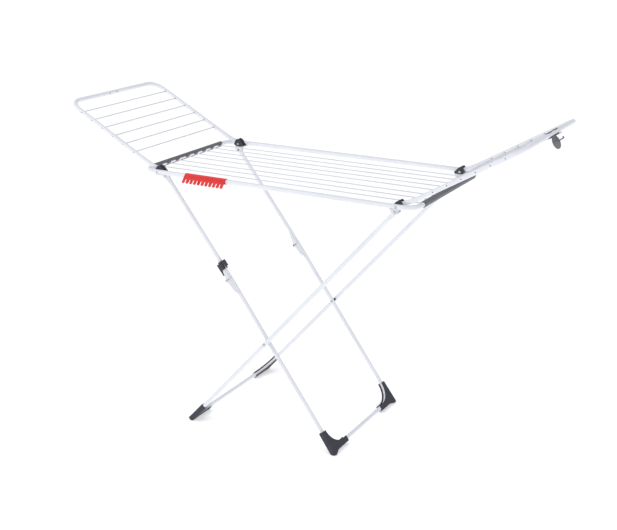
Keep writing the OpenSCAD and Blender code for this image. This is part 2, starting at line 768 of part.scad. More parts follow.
// Skirt seen square on: round-tipped teeth with round-ended slots between them
module clip_skirt_outline() {
    tip_y = clip_skirt - clip_tooth_half;
    difference() {
        translate([-clip_len / 2, -clip_slot_top]) square([clip_len, clip_slot_top]);
        for (i = [0 : clip_slots - 1]) translate([clip_slot_x(i), -clip_slot_top])
            circle(clip_slot_half);
    }
    for (i = [0 : clip_slots]) translate([(i - clip_slots / 2) * clip_pitch, 0]) {
        translate([-clip_tooth_half, -tip_y]) square([2 * clip_tooth_half, tip_y - clip_slot_top]);
        translate([0, -tip_y]) circle(clip_tooth_half);
    }
}

// Clip on the right wing's end bar, open outboard, with a hanging paddle and a peg for hangers
module hanger_holder() {
    in_r = wing_r + 0.2;
    out_r = in_r + holder_wall;
    half_y = holder_len / 2;
    paddle_z = -out_r - paddle_h / 2 + 3;
    color(strip_c) in_plane(hinge_x, rail_z, wing_tilt_right)
        translate([wing_len, holder_y, -wing_offset]) rotate([0, holder_swing, 0]) {
            // grip: a long C round the inboard side, with two tongues over the top and a low ledge
            slab_y(-half_y, half_y) arc_shell(in_r, out_r, grip_top_a, grip_low_a);
            for (y = [-half_y * 0.62, half_y * 0.55]) translate([0, y, 0])
                slab_y(-half_y * 0.3, half_y * 0.3) arc_shell(in_r, out_r, tongue_a, grip_top_a + 5);
            translate([0, -half_y, -out_r + clip_bed])
                cube([ledge_reach, holder_len, holder_wall - 2 * clip_bed]);
            // paddle across the bar, and the peg that stands out from its far face
            difference() {
                slab_y(-paddle_t / 2, paddle_t / 2) translate([0, paddle_z])
                    scale([paddle_w / paddle_h, 1]) circle(paddle_h / 2);
                rod_y(-paddle_t, paddle_t, in_r + 1);
            }
            translate([-paddle_w * 0.4, -paddle_t, paddle_z - peg_t / 2])
                cube([paddle_w * 0.8, paddle_t, peg_t]);
            translate([0, -paddle_t / 2, paddle_z]) {
                translate([-peg_t / 2, 0, -peg_t / 2]) cube([peg_t, peg_len, peg_t]);
                translate([-peg_t / 2, peg_len - peg_t, -peg_t / 2]) cube([peg_t, peg_t, 2 * peg_t]);
            }
        }
}

// ---------------------------------------------------------------- nodes

rail(-1);  // rail_near
rail(1);  // rail_far
end_bar(-1);  // end_bar_left
end_bar(1);  // end_bar_right
end_strip(-1);  // end_strip_left
end_strip(1);  // end_strip_right
for (i = [0 : 7]) {
    frame_rod(i);
}
wing_bracket(-1, -1, wing_tilt_left);  // wing_bracket_left_near
wing_bracket(-1, 1, wing_tilt_left);  // wing_bracket_left_far
wing_bracket(1, -1, wing_tilt_right);  // wing_bracket_right_near
wing_bracket(1, 1, wing_tilt_right);  // wing_bracket_right_far
wing_hinge_rivets();
leg_bracket(-1, -1, leg_a_y);  // leg_bracket_left_near
leg_bracket(-1, 1, leg_a_y);  // leg_bracket_left_far
leg_bracket(1, -1, leg_b_y);  // leg_bracket_right_near
leg_bracket(1, 1, leg_b_y);  // leg_bracket_right_far
leg_pivot_rivets();
bracket_spacer_rivets();
wing_arm(-1, -1, wing_tilt_left);  // wing_left_arm_near
wing_arm(-1, 1, wing_tilt_left);  // wing_left_arm_far
wing_end_bar(-1, wing_tilt_left);  // wing_left_end_bar
wing_rod_set(-1, wing_tilt_left);  // wing_left_rods
wing_arm(1, -1, wing_tilt_right);  // wing_right_arm_near
wing_arm(1, 1, wing_tilt_right);  // wing_right_arm_far
wing_end_bar(1, wing_tilt_right);  // wing_right_end_bar
wing_rod_set(1, wing_tilt_right);  // wing_right_rods
outer_leg_arm(-1);  // outer_leg_arm_near
outer_leg_arm(1);  // outer_leg_arm_far
outer_leg_foot_bar();
outer_foot(-1);  // outer_foot_near
outer_foot(1);  // outer_foot_far
outer_foot_pads();
crossing_bolts();
crossing_spacers();
inner_leg_upper(-1);  // inner_leg_upper_near
inner_leg_upper(1);  // inner_leg_upper_far
knee_ear(-1);  // knee_ear_near
knee_ear(1);  // knee_ear_far
inner_leg_arm(-1);  // inner_leg_arm_near
inner_leg_arm(1);  // inner_leg_arm_far
inner_leg_foot_bar();
inner_foot(-1);  // inner_foot_near
inner_foot(1);  // inner_foot_far
inner_foot_pads();
knee_fork(-1);  // knee_fork_near
knee_fork(1);  // knee_fork_far
knee_rivets();
crossing_nuts();
knee_lock();
small_items_clip();
hanger_holder();
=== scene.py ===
"""Looks of the folding clothes drying rack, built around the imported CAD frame."""
import json
import math
from collections import namedtuple

import bmesh
import bpy
from mathutils import Matrix, Vector


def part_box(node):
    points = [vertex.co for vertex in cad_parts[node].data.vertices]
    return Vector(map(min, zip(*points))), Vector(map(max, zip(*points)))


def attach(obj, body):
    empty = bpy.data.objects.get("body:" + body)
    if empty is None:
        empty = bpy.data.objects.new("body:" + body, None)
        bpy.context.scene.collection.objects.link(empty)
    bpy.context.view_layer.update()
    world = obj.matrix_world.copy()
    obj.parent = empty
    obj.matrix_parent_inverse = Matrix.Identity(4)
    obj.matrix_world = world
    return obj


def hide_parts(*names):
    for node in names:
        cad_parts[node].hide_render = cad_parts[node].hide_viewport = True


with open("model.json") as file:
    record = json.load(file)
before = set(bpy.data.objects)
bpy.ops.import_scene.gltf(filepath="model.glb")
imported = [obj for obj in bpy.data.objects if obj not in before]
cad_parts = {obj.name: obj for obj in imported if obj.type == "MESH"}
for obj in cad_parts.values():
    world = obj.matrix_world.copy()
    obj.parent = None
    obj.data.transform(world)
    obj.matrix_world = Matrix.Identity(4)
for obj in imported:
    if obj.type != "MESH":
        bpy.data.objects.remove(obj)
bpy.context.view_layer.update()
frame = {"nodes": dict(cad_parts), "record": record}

MM = 0.001
TAU = 2 * math.pi
Y_AXIS = Vector((0, 1, 0))
Z_AXIS = Vector((0, 0, 1))
JOINTS = {j["name"]: j for j in frame["record"]["behaviour"]["joints"]}
BASE_COLORS = {m["slot"]: m["base_color"] for m in frame["record"]["materials"]}


# ------------------------------------------------------------------ sizes read from the frame

def middle(node):
    low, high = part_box(node)
    return (low + high) / 2


def pivot(joint):
    return Vector(JOINTS[joint]["pos_m"])


RAIL_LOW, RAIL_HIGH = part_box("rail_far")
RAIL_R = (RAIL_HIGH.z - RAIL_LOW.z) / 2
RAIL_Z = middle("rail_far").z
RAIL_Y = middle("rail_far").y
FRAME_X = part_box("end_bar_right")[1].x - RAIL_R
FRAME_BEND = FRAME_X - RAIL_HIGH.x

WING_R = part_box("wing_left_end_bar")[1].y - middle("wing_left_arm_far").y
WING_Y = middle("wing_left_arm_far").y
WING_BEND = 50 * MM
WING_DROP = 6 * MM          # the wing's tubes run this far below its hinge line
DROP_EASE = 2.6             # lengths of the flat over which they come down to it

LEG_R = (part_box("inner_leg_arm_far")[1].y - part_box("inner_leg_arm_far")[0].y) / 2
LEG_BEND = 70 * MM

# A tube's end squeezed flat for a pivot: the eye's radius, half the flat's thickness, the flat's
# length beyond the eye, and half the flat's height where it starts to turn round.
SqueezedEnd = namedtuple("SqueezedEnd", "eye_r half_t flat half_h")
WING_END = SqueezedEnd(7 * MM, 5 * MM, 24 * MM, WING_R)
LEG_END = SqueezedEnd(8.3 * MM, 4.5 * MM, 16 * MM, 8.3 * MM)
CRIMP = 18 * MM             # length over which a squeezed tube end turns round

RIVET_HEAD = (4.3 * MM, 1.7 * MM)       # radius and height
SPACER_HEAD = (3.1 * MM, 1.1 * MM)
BOLT_HEAD = (5.4 * MM, 2.3 * MM)
RAIL_HEAD_SINK = 0.65 * MM              # how far a wing rivet's head beds into the rail's side

TUBE_SIDES = 28
ROD_SIDES = 14
ROD_STEP = 20 * MM          # length of a rod's mesh segments

ROD_R = (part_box("frame_rod_1")[1].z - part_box("frame_rod_1")[0].z) / 2
ROD_Y = [middle(f"frame_rod_{i}").y for i in range(1, 9)]
ROD_Z = middle("frame_rod_1").z


# ------------------------------------------------------------------ materials

class Shader:
    """A Principled material under construction, in object coordinates in metres."""

    def __init__(self, name, color, roughness, **plain):
        self.mat = bpy.data.materials.new(name)
        self.mat.use_nodes = True
        self.tree = self.mat.node_tree
        self.out = self.tree.nodes["Principled BSDF"]
        self.out.inputs["Base Color"].default_value = (*color[:3], 1)
        self.out.inputs["Roughness"].default_value = roughness
        for key, value in plain.items():
            self.out.inputs[key.replace("_", " ")].default_value = value
        self.coords = self.add("ShaderNodeTexCoord").outputs["Object"]
        self.height = None

    def add(self, kind, **values):
        node = self.tree.nodes.new(kind)
        for key, value in values.items():
            setattr(node, key, value)
        return node

    def link(self, a, b):
        self.tree.links.new(a, b)

    def noise(self, scale, detail=2.0, stretch=(1, 1, 1)):
        """Noise with about `scale` features to a metre, stretched along an axis below 1."""
        mapping = self.add("ShaderNodeMapping")
        mapping.inputs["Scale"].default_value = stretch
        self.link(self.coords, mapping.inputs["Vector"])
        tex = self.add("ShaderNodeTexNoise")
        tex.inputs["Scale"].default_value = scale
        tex.inputs["Detail"].default_value = detail
        self.link(mapping.outputs["Vector"], tex.inputs["Vector"])
        return tex.outputs["Fac"]

    def cells(self, scale):
        tex = self.add("ShaderNodeTexVoronoi")
        tex.inputs["Scale"].default_value = scale
        self.link(self.coords, tex.inputs["Vector"])
        return tex.outputs["Distance"]

    def ramp(self, fac, low, high, start=0.3, end=0.7):
        node = self.add("ShaderNodeMapRange")
        node.inputs["From Min"].default_value = start
        node.inputs["From Max"].default_value = end
        node.inputs["To Min"].default_value = low
        node.inputs["To Max"].default_value = high
        self.link(fac, node.inputs["Value"])
        return node.outputs["Result"]

    def vary_color(self, fac, other, start=0.35, end=0.7):
        mix = self.add("ShaderNodeMix", data_type="RGBA")
        source = self.out.inputs["Base Color"]
        if source.links:
            self.link(source.links[0].from_socket, mix.inputs["A"])
        else:
            mix.inputs["A"].default_value = source.default_value
        mix.inputs["B"].default_value = (*other[:3], 1)
        self.link(self.ramp(fac, 0, 1, start, end), mix.inputs["Factor"])
        self.link(mix.outputs["Result"], source)

    def vary_roughness(self, fac, low, high):
        self.link(self.ramp(fac, low, high), self.out.inputs["Roughness"])

    def bump(self, fac, distance, strength=1.0):
        node = self.add("ShaderNodeBump")
        node.inputs["Distance"].default_value = distance
        node.inputs["Strength"].default_value = strength
        self.link(fac, node.inputs["Height"])
        if self.height is not None:
            self.link(self.height, node.inputs["Normal"])
        self.height = node.outputs["Normal"]
        self.link(self.height, self.out.inputs["Normal"])

    def edge_wear(self, other, amount=0.5):
        """Lighter or darker colour where the surface turns sharply outwards."""
        point = self.add("ShaderNodeNewGeometry").outputs["Pointiness"]
        grit = self.ramp(self.noise(260, 3), 0.6, 1.0)
        mul = self.add("ShaderNodeMath", operation="MULTIPLY")
        self.link(self.ramp(point, 0, amount, 0.52, 0.60), mul.inputs[0])
        self.link(grit, mul.inputs[1])
        self.vary_color(mul.outputs["Value"], other, 0, 1)


def scaled(color, factor):
    return [min(1, c * factor) for c in color[:3]]


def tube_enamel():
    """Satin powder coat: orange peel, faint clouding and a few matt handling patches."""
    color = BASE_COLORS["tube_enamel"]
    s = Shader("tube_enamel", color, 0.38, Coat_Weight=0.12, Coat_Roughness=0.25)
    s.vary_color(s.noise(9, 4), scaled(color, 0.93))
    s.vary_color(s.noise(140, 3), scaled(color, 0.965), 0.5, 0.8)
    s.vary_roughness(s.noise(35, 4), 0.30, 0.47)
    s.bump(s.noise(900, 2), 0.00006, 0.55)
    s.bump(s.noise(90, 1), 0.0002, 0.12)
    return s.mat


def rod_enamel():
    """Thicker dipped coat on wire, with long slow runs."""
    color = scaled(BASE_COLORS["rod_enamel"], 0.88)
    s = Shader("rod_enamel", color, 0.34, Coat_Weight=0.2, Coat_Roughness=0.2)
    s.vary_color(s.noise(14, 3), scaled(color, 0.90))
    s.vary_roughness(s.noise(60, 3), 0.26, 0.42)
    s.bump(s.noise(130, 2), 0.00022, 0.4)
    s.bump(s.noise(1200, 2), 0.00004, 0.4)
    return s.mat


def bracket_enamel():
    color = BASE_COLORS["bracket_enamel"]
    s = Shader("bracket_enamel", color, 0.42)
    s.vary_color(s.noise(60, 4), scaled(color, 0.92))
    s.edge_wear(scaled(color, 0.72), 0.5)
    s.vary_roughness(s.noise(120, 3), 0.34, 0.50)
    s.bump(s.noise(1000, 2), 0.00006, 0.5)
    return s.mat


def rivet_steel():
    color = BASE_COLORS["rivet_steel"]
    s = Shader("rivet_steel", color, 0.33, Metallic=1.0)
    s.vary_color(s.noise(700, 4), scaled(color, 0.72))
    s.vary_roughness(s.noise(500, 4), 0.24, 0.46)
    s.bump(s.noise(1500, 3), 0.00005, 0.5)
    return s.mat


def moulded(slot, roughness, grain, lighter, depth=1.0, blue=1.0):
    """Spark-eroded mould grain, slight flow clouding and paler rubbed edges.

    depth scales the record's colour and blue its blue part."""
    color = scaled(BASE_COLORS[slot], depth)
    color[2] *= blue
    s = Shader(slot, color, roughness)
    s.vary_color(s.noise(45, 3), scaled(color, 0.82))
    s.vary_color(s.noise(1100, 2), scaled(color, 1.25), 0.5, 0.8)
    s.edge_wear(scaled(color, lighter), 0.7)
    s.vary_roughness(s.noise(180, 3), roughness - 0.08, roughness + 0.08)
    s.bump(s.cells(grain), 0.00012, 0.35)
    s.bump(s.noise(grain * 0.6, 3), 0.00010, 0.35)
    return s.mat


def strip_plastic():
    """Extruded plastic: fine die lines along the strip."""
    color = BASE_COLORS["strip_plastic"]
    s = Shader("strip_plastic", color, 0.46)
    s.vary_color(s.noise(16, 3), scaled(color, 0.85))
    s.vary_color(s.noise(900, 2, (1, 0.02, 1)), scaled(color, 1.22), 0.45, 0.75)
    s.edge_wear(scaled(color, 1.5), 0.5)
    s.vary_roughness(s.noise(600, 2, (1, 0.03, 1)), 0.36, 0.55)
    s.bump(s.noise(1300, 2, (1, 0.015, 1)), 0.00008, 0.5)
    return s.mat


def red_plastic():
    color = scaled(BASE_COLORS["red_plastic"], 1.25)
    s = Shader("red_plastic", color, 0.36, Specular_IOR_Level=0.22)
    s.vary_color(s.noise(55, 3), scaled(color, 0.86))
    s.edge_wear([0.95, 0.12, 0.10], 0.35)
    s.vary_roughness(s.noise(90, 3), 0.30, 0.45)
    s.bump(s.noise(700, 2), 0.00006, 0.4)
    return s.mat


def pad_rubber():
    color = BASE_COLORS["pad_rubber"]
    s = Shader("pad_rubber", color, 0.62)
    s.vary_color(s.noise(220, 3), scaled(color, 0.78))
    s.vary_roughness(s.noise(300, 2), 0.54, 0.72)
    s.bump(s.cells(900), 0.0002, 0.5)
    return s.mat


def painted_hole_shade():
    """Painted shade: a flat dark colour standing in for the shadow inside a small hole or gap."""
    s = Shader("painted_hole_shade", (0.035, 0.036, 0.042), 0.7)
    s.vary_color(s.noise(900, 2), (0.06, 0.06, 0.07))
    s.bump(s.noise(1500, 2), 0.00005, 0.4)
    return s.mat


MATERIALS = {
    "tube_enamel": tube_enamel(),
    "rod_enamel": rod_enamel(),
    "bracket_enamel": bracket_enamel(),
    "rivet_steel": rivet_steel(),
    "hinge_plastic": moulded("hinge_plastic", 0.52, grain=1300, lighter=1.8, depth=0.6, blue=1.15),
    "foot_plastic": moulded("foot_plastic", 0.55, grain=1100, lighter=1.6, depth=0.45, blue=1.3),
    "holder_plastic": moulded("holder_plastic", 0.48, grain=1300, lighter=1.5),
    "strip_plastic": strip_plastic(),
    "red_plastic": red_plastic(),
    "pad_rubber": pad_rubber(),
}
# a flat dark colour painted where a hole or a gap lies in shade
PAINTED_SHADE = painted_hole_shade()


# ------------------------------------------------------------------ mesh tools

def place(bm, name, slot, body, replaces=(), material=None):
    """Turns a bmesh into a piece with its material, riding on a body."""
    bmesh.ops.recalc_face_normals(bm, faces=bm.faces)
    mesh = bpy.data.meshes.new(name)
    bm.to_mesh(mesh)
    bm.free()
    piece = bpy.data.objects.new(name, mesh)
    bpy.context.scene.collection.objects.link(piece)
    mesh.materials.append(material or MATERIALS[slot])
    for poly in mesh.polygons:
        poly.use_smooth = True
    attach(piece, body)
    if replaces:
        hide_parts(*replaces)


def superellipse(a, b, power, count):
    """Ring of points with half-sizes a and b: power 2 is an ellipse, higher is squarer."""
    ring = []
    for i in range(count):
        t = TAU * i / count
        c, s = math.cos(t), math.sin(t)
        ring.append((a * math.copysign(abs(c) ** (2 / power), c),
                     b * math.copysign(abs(s) ** (2 / power), s)))
    return ring


def skin(bm, rings, closed=False):
    """Faces between rings of vertices; the first and last are capped unless closed."""
    rows = [[bm.verts.new(p) for p in ring] for ring in rings]
    pairs = list(zip(rows, rows[1:])) + ([(rows[-1], rows[0])] if closed else [])
    for a, b in pairs:
        for i in range(len(a)):
            j = (i + 1) % len(a)
            bm.faces.new((a[i], a[j], b[j], b[i]))
    if not closed:
        bm.faces.new(rows[0][::-1])
        bm.faces.new(rows[-1])


def tangent(path, i, closed=False):
    before = path[i - 1] if (i or closed) else path[i]
    after = path[(i + 1) % len(path)] if (i + 1 < len(path) or closed) else path[i]
    return (after - before).normalized()


def sweep(bm, path, side, sections, closed=False):
    """Tube along a path that lies in a plane with unit normal `side`.

    Each point has its section, a ring of (along side, along the in-plane normal)."""
    rings = []
    for i, (p, section) in enumerate(zip(path, sections)):
        across = side.cross(tangent(path, i, closed))
        rings.append([p + side * a + across * b for a, b in section])
    skin(bm, rings, closed)


def straight(a, b, step=0.04):
    """Points from a up to but not including b."""
    n = max(1, round((b - a).length / step))
    return [a.lerp(b, i / n) for i in range(n)]


def arc(centre, start, axis, angle, steps=14):
    """Points on an arc from `start` about `centre`, without its last point."""
    return [centre + Matrix.Rotation(angle * i / steps, 3, axis) @ (start - centre)
            for i in range(steps)]


def lathe(bm, profile, matrix, steps=28):
    """Solid of revolution about local z from (radius, z) pairs that start and end on the axis."""
    rings = []
    for r, z in profile[1:-1]:
        rings.append([matrix @ Vector((r * math.cos(TAU * i / steps),
                                       r * math.sin(TAU * i / steps), z)) for i in range(steps)])
    rows = [[bm.verts.new(p) for p in ring] for ring in rings]
    for a, b in zip(rows, rows[1:]):
        for i in range(steps):
            j = (i + 1) % steps
            bm.faces.new((a[i], a[j], b[j], b[i]))
    for ring, (_, z) in ((rows[0], profile[0]), (rows[-1], profile[-1])):
        tip = bm.verts.new(matrix @ Vector((0, 0, z)))
        for i in range(steps):
            bm.faces.new((ring[i], ring[(i + 1) % steps], tip))


def facing(point, direction):
    """Matrix that puts local z along `direction` at `point`."""
    turn = Z_AXIS.rotation_difference(direction).to_matrix().to_4x4()
    return Matrix.Translation(point) @ turn


def softened(node, slot, body, width=0.5 * MM, segments=2):
    """A copy of a CAD node with rounded moulded or pressed edges, in place of the node."""
    mesh = frame["nodes"][node].data.copy()
    mesh.name = "soft_" + node
    bm = bmesh.new()
    bm.from_mesh(mesh)
    bmesh.ops.remove_doubles(bm, verts=bm.verts, dist=1e-6)
    bmesh.ops.dissolve_limit(bm, angle_limit=math.radians(0.6), verts=bm.verts, edges=bm.edges)
    bm.to_mesh(mesh)
    bm.free()
    piece = bpy.data.objects.new("soft_" + node, mesh)
    bpy.context.scene.collection.objects.link(piece)
    mesh.materials.clear()
    mesh.materials.append(MATERIALS[slot])
    bevel = piece.modifiers.new("edges", "BEVEL")
    bevel.width = width
    bevel.segments = segments
    bevel.limit_method = "ANGLE"
    bevel.angle_limit = math.radians(34)
    bevel.harden_normals = False
    bevel.miter_outer = "MITER_ARC"
    for poly in mesh.polygons:
        poly.use_smooth = True
    piece.modifiers.new("normals", "WEIGHTED_NORMAL").keep_sharp = True
    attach(piece, body)
    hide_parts(node)


# ------------------------------------------------------------------ centre frame

def corner_loop(half_x, half_y, z, bend):
    """Closed rounded rectangle in a level plane."""
    points = []
    corners = [(1, 1), (-1, 1), (-1, -1), (1, -1)]
    for k, (sx, sy) in enumerate(corners):
        centre = Vector((sx * (half_x - bend), sy * (half_y - bend), z))
        out = Vector((sx, 0, 0)) if sx == sy else Vector((0, sy, 0))
        turned = (Matrix.Rotation(TAU / 4, 3, Z_AXIS) @ out) * bend
        nx, ny = corners[(k + 1) % 4]
        end = centre + turned
        after = Vector((nx * (half_x - bend), ny * (half_y - bend), z)) + turned
        points += arc(centre, centre + out * bend, Z_AXIS, TAU / 4)
        points += straight(end, after)
    return points


def frame_tube():
    bm = bmesh.new()
    path = corner_loop(FRAME_X, RAIL_Y, RAIL_Z, FRAME_BEND)
    ring = superellipse(RAIL_R, RAIL_R, 2, TUBE_SIDES)
    sweep(bm, path, Z_AXIS, [ring] * len(path), closed=True)
    place(bm, "frame_tube", "tube_enamel", "frame",
          ("rail_near", "rail_far", "end_bar_left", "end_bar_right"))


def frame_rods():
    """Dipped wires with a slightly thicker coat near their ends."""
    half = FRAME_X - RAIL_R * 0.4           # the rods end inside the end bars
    for k, y in enumerate(ROD_Y):
        end = Vector((half, y, ROD_Z))
        path = straight(Vector((-half, y, ROD_Z)), end, ROD_STEP) + [end]
        radii = [ROD_R * (0.985 + 0.015 * math.exp(-(half - abs(p.x)) / 0.03)) for p in path]
        bm = bmesh.new()
        sweep(bm, path, Y_AXIS, [superellipse(r, r, 2, ROD_SIDES) for r in radii])
        place(bm, f"rod_{k + 1}", "rod_enamel", "frame", (f"frame_rod_{k + 1}",))


STRIP_START = math.radians(-121)
STRIP_EDGE = math.radians(167)      # inner edge of the shell between the fingers
FINGER_END = math.radians(205)
FINGER_R = 12 * MM
NOTCH_R = ROD_R + 0.1 * MM          # half the slot that a rod runs out through
NOTCH_END = math.radians(177)
STRIP_CORNER = 4 * MM               # length of the eased corner at each end of a strip


def strip_lip(y, y0, y1):
    """Angle at which the strip ends on its inner side: rounded fingers, notched at the rods."""
    near = min(abs(y - rod_y) for rod_y in ROD_Y)
    if near < NOTCH_R:
        return NOTCH_END
    if near < FINGER_R:
        drop = 2 * ROD_R - math.sqrt(FINGER_R ** 2 - near ** 2)
        angle = math.pi + math.asin(max(-1, min(1, -drop / (RAIL_R + 2 * MM))))
        return max(STRIP_EDGE, min(FINGER_END, angle))
    corner = min(1, min(y - y0, y1 - y) / STRIP_CORNER)
    return STRIP_EDGE - (1 - corner) ** 2 * math.radians(30)


def end_strip(side, node):
    """Extruded shell over the end bar, with a finger hooked over every rod."""
    low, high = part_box(node)
    inner, outer = RAIL_R + 0.06 * MM, high.z - RAIL_Z
    cuts = 270              # even steps along the strip; the fingers' edges get closer ones
    places = {low.y + (high.y - low.y) * k / cuts for k in range(cuts + 1)}
    for rod_y in ROD_Y:
        for step in (0.05, 0.15, 0.4, 1.0):
            places |= {rod_y + w * (NOTCH_R + d * step * MM) for w in (-1, 1) for d in (-1, 1)}
            places |= {rod_y + w * (FINGER_R - step * MM) for w in (-1, 1)}
    steps_a = 30
    bm = bmesh.new()
    rings = []
    for y in sorted(places):
        end = strip_lip(y, low.y, high.y)
        ring = []
        for r, order in ((inner, range(steps_a + 1)), (outer, range(steps_a, -1, -1))):
            for i in order:
                a = STRIP_START + (end - STRIP_START) * i / steps_a
                trim = 0.5 * MM if r == outer and i in (0, steps_a) else 0
                ring.append(Vector((side * (FRAME_X + (r - trim) * math.cos(a)), y,
                                    RAIL_Z + (r - trim) * math.sin(a))))
        rings.append(ring)
    skin(bm, rings)
    place(bm, node.replace("end_", "cover_"), "strip_plastic", "frame", (node,))


# ------------------------------------------------------------------ tubes with squeezed ends

def eased(t):
    return t * t * (3 - 2 * t)


def squeezed(distance, end, r):
    """Half-thickness, half-height and squareness of a tube at a distance from its flat tip."""
    if distance < end.eye_r:
        half_h = math.sqrt(max(end.eye_r ** 2 - (end.eye_r - distance) ** 2, 1e-9))
        return end.half_t, half_h, 6
    along = distance - end.eye_r
    if along < end.flat:
        return end.half_t, end.eye_r + (end.half_h - end.eye_r) * along / end.flat, 6
    mix = eased(min((along - end.flat) / CRIMP, 1))
    return (end.half_t + (r - end.half_t) * mix, end.half_h + (r - end.half_h) * mix,
            2 + 4 * (1 - mix) ** 2)


def distances(path):
    total, out = 0.0, [0.0]
    for a, b in zip(path, path[1:]):
        total += (b - a).length
        out.append(total)
    return out


def tip_points(tip, direction, length):
    """Closely spaced points over the rounded tip, then wider ones to the end of the crimp."""
    fine = [0.02, 0.1, 0.25, 0.5, 0.9, 1.5, 2.3, 3.3, 4.5, 5.8, 7.2]
    marks = [f * MM for f in fine]
    d = 9 * MM
    while d < length:
        marks.append(d)
        d += 2.5 * MM
    return [tip + direction * m for m in marks]


def u_path(tip, direction, to_bar, bend, tip_len):
    """Path and plane's normal: up the near arm from its tip, round the bar, down the far arm."""
    def flip(p):
        return Vector((p.x, -p.y, p.z))

    bar = tip + direction * to_bar
    centre = bar - direction * bend + Vector((0, bend, 0))
    turn_axis = direction.cross(Y_AXIS)
    half = tip_points(tip, direction, tip_len)
    half += straight(tip + direction * tip_len, bar - direction * bend)
    half += arc(centre, bar - direction * bend, turn_axis, TAU / 4, 18)
    half.append(bar + Vector((0, bend, 0)))
    return half + [flip(p) for p in reversed(half)], turn_axis


def squeezed_u(name, body, replaces, pivot_at, direction, end, to_bar, half_y, bend, r, drop=0):
    """One continuous U of tube with a squeezed eye at each end, as it is really bent.

    Past its eyes the tube comes down by `drop` from the pivots' line."""
    up = direction.cross(Y_AXIS)
    if up.z < 0:
        up = -up
    near = Vector((pivot_at.x, -half_y, pivot_at.z)) - direction * end.eye_r
    path, side = u_path(near, direction, to_bar + end.eye_r, bend, end.eye_r + end.flat + CRIMP)
    marks = distances(path)
    bm = bmesh.new()
    rings = []
    for i, p in enumerate(path):
        d = min(marks[i], marks[-1] - marks[i])
        half_t, half_h, power = squeezed(d, end, r)
        # the ring stays square to the undropped path
        across = side.cross(tangent(path, i))
        t = min(max(d - end.eye_r, 0) / (end.flat * DROP_EASE), 1)
        centre = p - up * drop * eased(t)
        rings.append([centre + across * a + side * b
                      for a, b in superellipse(half_t, half_h, power, TUBE_SIDES)])
    skin(bm, rings)
    place(bm, name, "tube_enamel", body, replaces)


# ------------------------------------------------------------------ wings

def wing_axes(side, hinge, node):
    """Unit vector up the wing, the wing's normal and the hinge-to-bar length."""
    low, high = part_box(node)
    bar = Vector(((high.x - WING_R) if side > 0 else (low.x + WING_R), 0, high.z - WING_R))
    flat = bar - Vector((hinge.x, 0, hinge.z))
    length = math.sqrt(flat.length ** 2 - WING_DROP ** 2)
    tilt = math.atan2(flat.z, side * flat.x) + math.asin(WING_DROP / flat.length)
    direction = Vector((side * math.cos(tilt), 0, math.sin(tilt)))
    normal = Vector((-side * math.sin(tilt), 0, math.cos(tilt)))
    return direction, normal, length


WING_RODS = 6

# (radius, height) profiles of the small dark discs of painted shade
ROD_END_SHADE = [(0, 0), (1.7 * MM, 0), (1.75 * MM, 0.09 * MM), (1.4 * MM, 0.04 * MM), (0, 0.03 * MM)]
ROD_MOUTH_SHADE = [(0, 0), (ROD_R + 0.75 * MM, 0), (ROD_R + 0.45 * MM, 0.6 * MM),
             (ROD_R + 0.05 * MM, 0.85 * MM), (0, 0.85 * MM)]
BAR_HOLE_SHADE = [(0, -0.3 * MM), (2.2 * MM, -0.3 * MM), (2.3 * MM, 0.02 * MM), (1.6 * MM, -0.01 * MM),
            (0, -0.01 * MM)]
BAR_HOLE_Y = (-33 * MM, 7 * MM)


def rod_places(node, count, direction, hinge):
    """Distances of the wing's rods from its hinge line, from the rods' own box."""
    low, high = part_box(node)
    span_x = (high.x - low.x - 2 * ROD_R) / abs(direction.x)
    side = 1 if direction.x > 0 else -1
    first_x = (low.x + ROD_R) if side > 0 else (high.x - ROD_R)
    first_z = low.z + ROD_R
    first = (Vector((first_x, 0, first_z)) - hinge).dot(direction)
    return [first + span_x * i / (count - 1) for i in range(count)]


def wing(side, word):
    hinge = pivot(f"{word}_wing_hinge")
    body = f"wing_{word}"
    direction, normal, length = wing_axes(side, hinge, f"wing_{word}_end_bar")
    nodes = tuple(f"wing_{word}_{part}" for part in ("arm_near", "arm_far", "end_bar"))
    squeezed_u(f"{word}_wing_tube", body, nodes, hinge, direction, WING_END, length, WING_Y,
               WING_BEND, WING_R, WING_DROP)
    bm = bmesh.new()
    # dark discs of painted shade at each rod's end and at its mouth in the arm
    marks = bmesh.new()
    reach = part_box(f"wing_{word}_rods")[1].y
    ring = superellipse(ROD_R * 0.99, ROD_R * 0.99, 2, ROD_SIDES)
    for along in rod_places(f"wing_{word}_rods", WING_RODS, direction, hinge):
        centre = hinge + direction * along - normal * WING_DROP
        ends = [centre + Vector((0, y, 0)) for y in (-reach, reach)]
        path = straight(ends[0], ends[1], ROD_STEP) + [ends[1]]
        sweep(bm, path, direction, [ring] * len(path))
        for sign in (-1, 1):
            rim = centre + Vector((0, sign * (WING_Y + WING_R - 0.01 * MM), 0))
            lathe(marks, ROD_END_SHADE, facing(rim, Vector((0, sign, 0))), 16)
            mouth = centre + Vector((0, sign * (WING_Y - WING_R + 0.3 * MM), 0))
            lathe(marks, ROD_MOUTH_SHADE, facing(mouth, Vector((0, -sign, 0))), 20)
    place(bm, f"{word}_wing_rods", "rod_enamel", body, (f"wing_{word}_rods",))
    place(marks, f"{word}_rod_end_shade", "hinge_plastic", body, material=PAINTED_SHADE)


def left_bar_holes():
    """Painted shade in the two small punched openings on the inner face of the left wing's end bar.
    """
    hinge = pivot("left_wing_hinge")
    direction, normal, length = wing_axes(-1, hinge, "wing_left_end_bar")
    bm = bmesh.new()
    look = (-direction * 0.9 + normal * 0.44).normalized()
    for y in BAR_HOLE_Y:
        centre = hinge + direction * length - normal * WING_DROP + Vector((0, y, 0))
        lathe(bm, BAR_HOLE_SHADE, facing(centre + look * WING_R, look), 20)
    place(bm, "left_bar_holes", "hinge_plastic", "wing_left", material=PAINTED_SHADE)


# ------------------------------------------------------------------ legs

PLAIN_TIP = 12 * MM         # the inner leg's long U has no squeezed ends


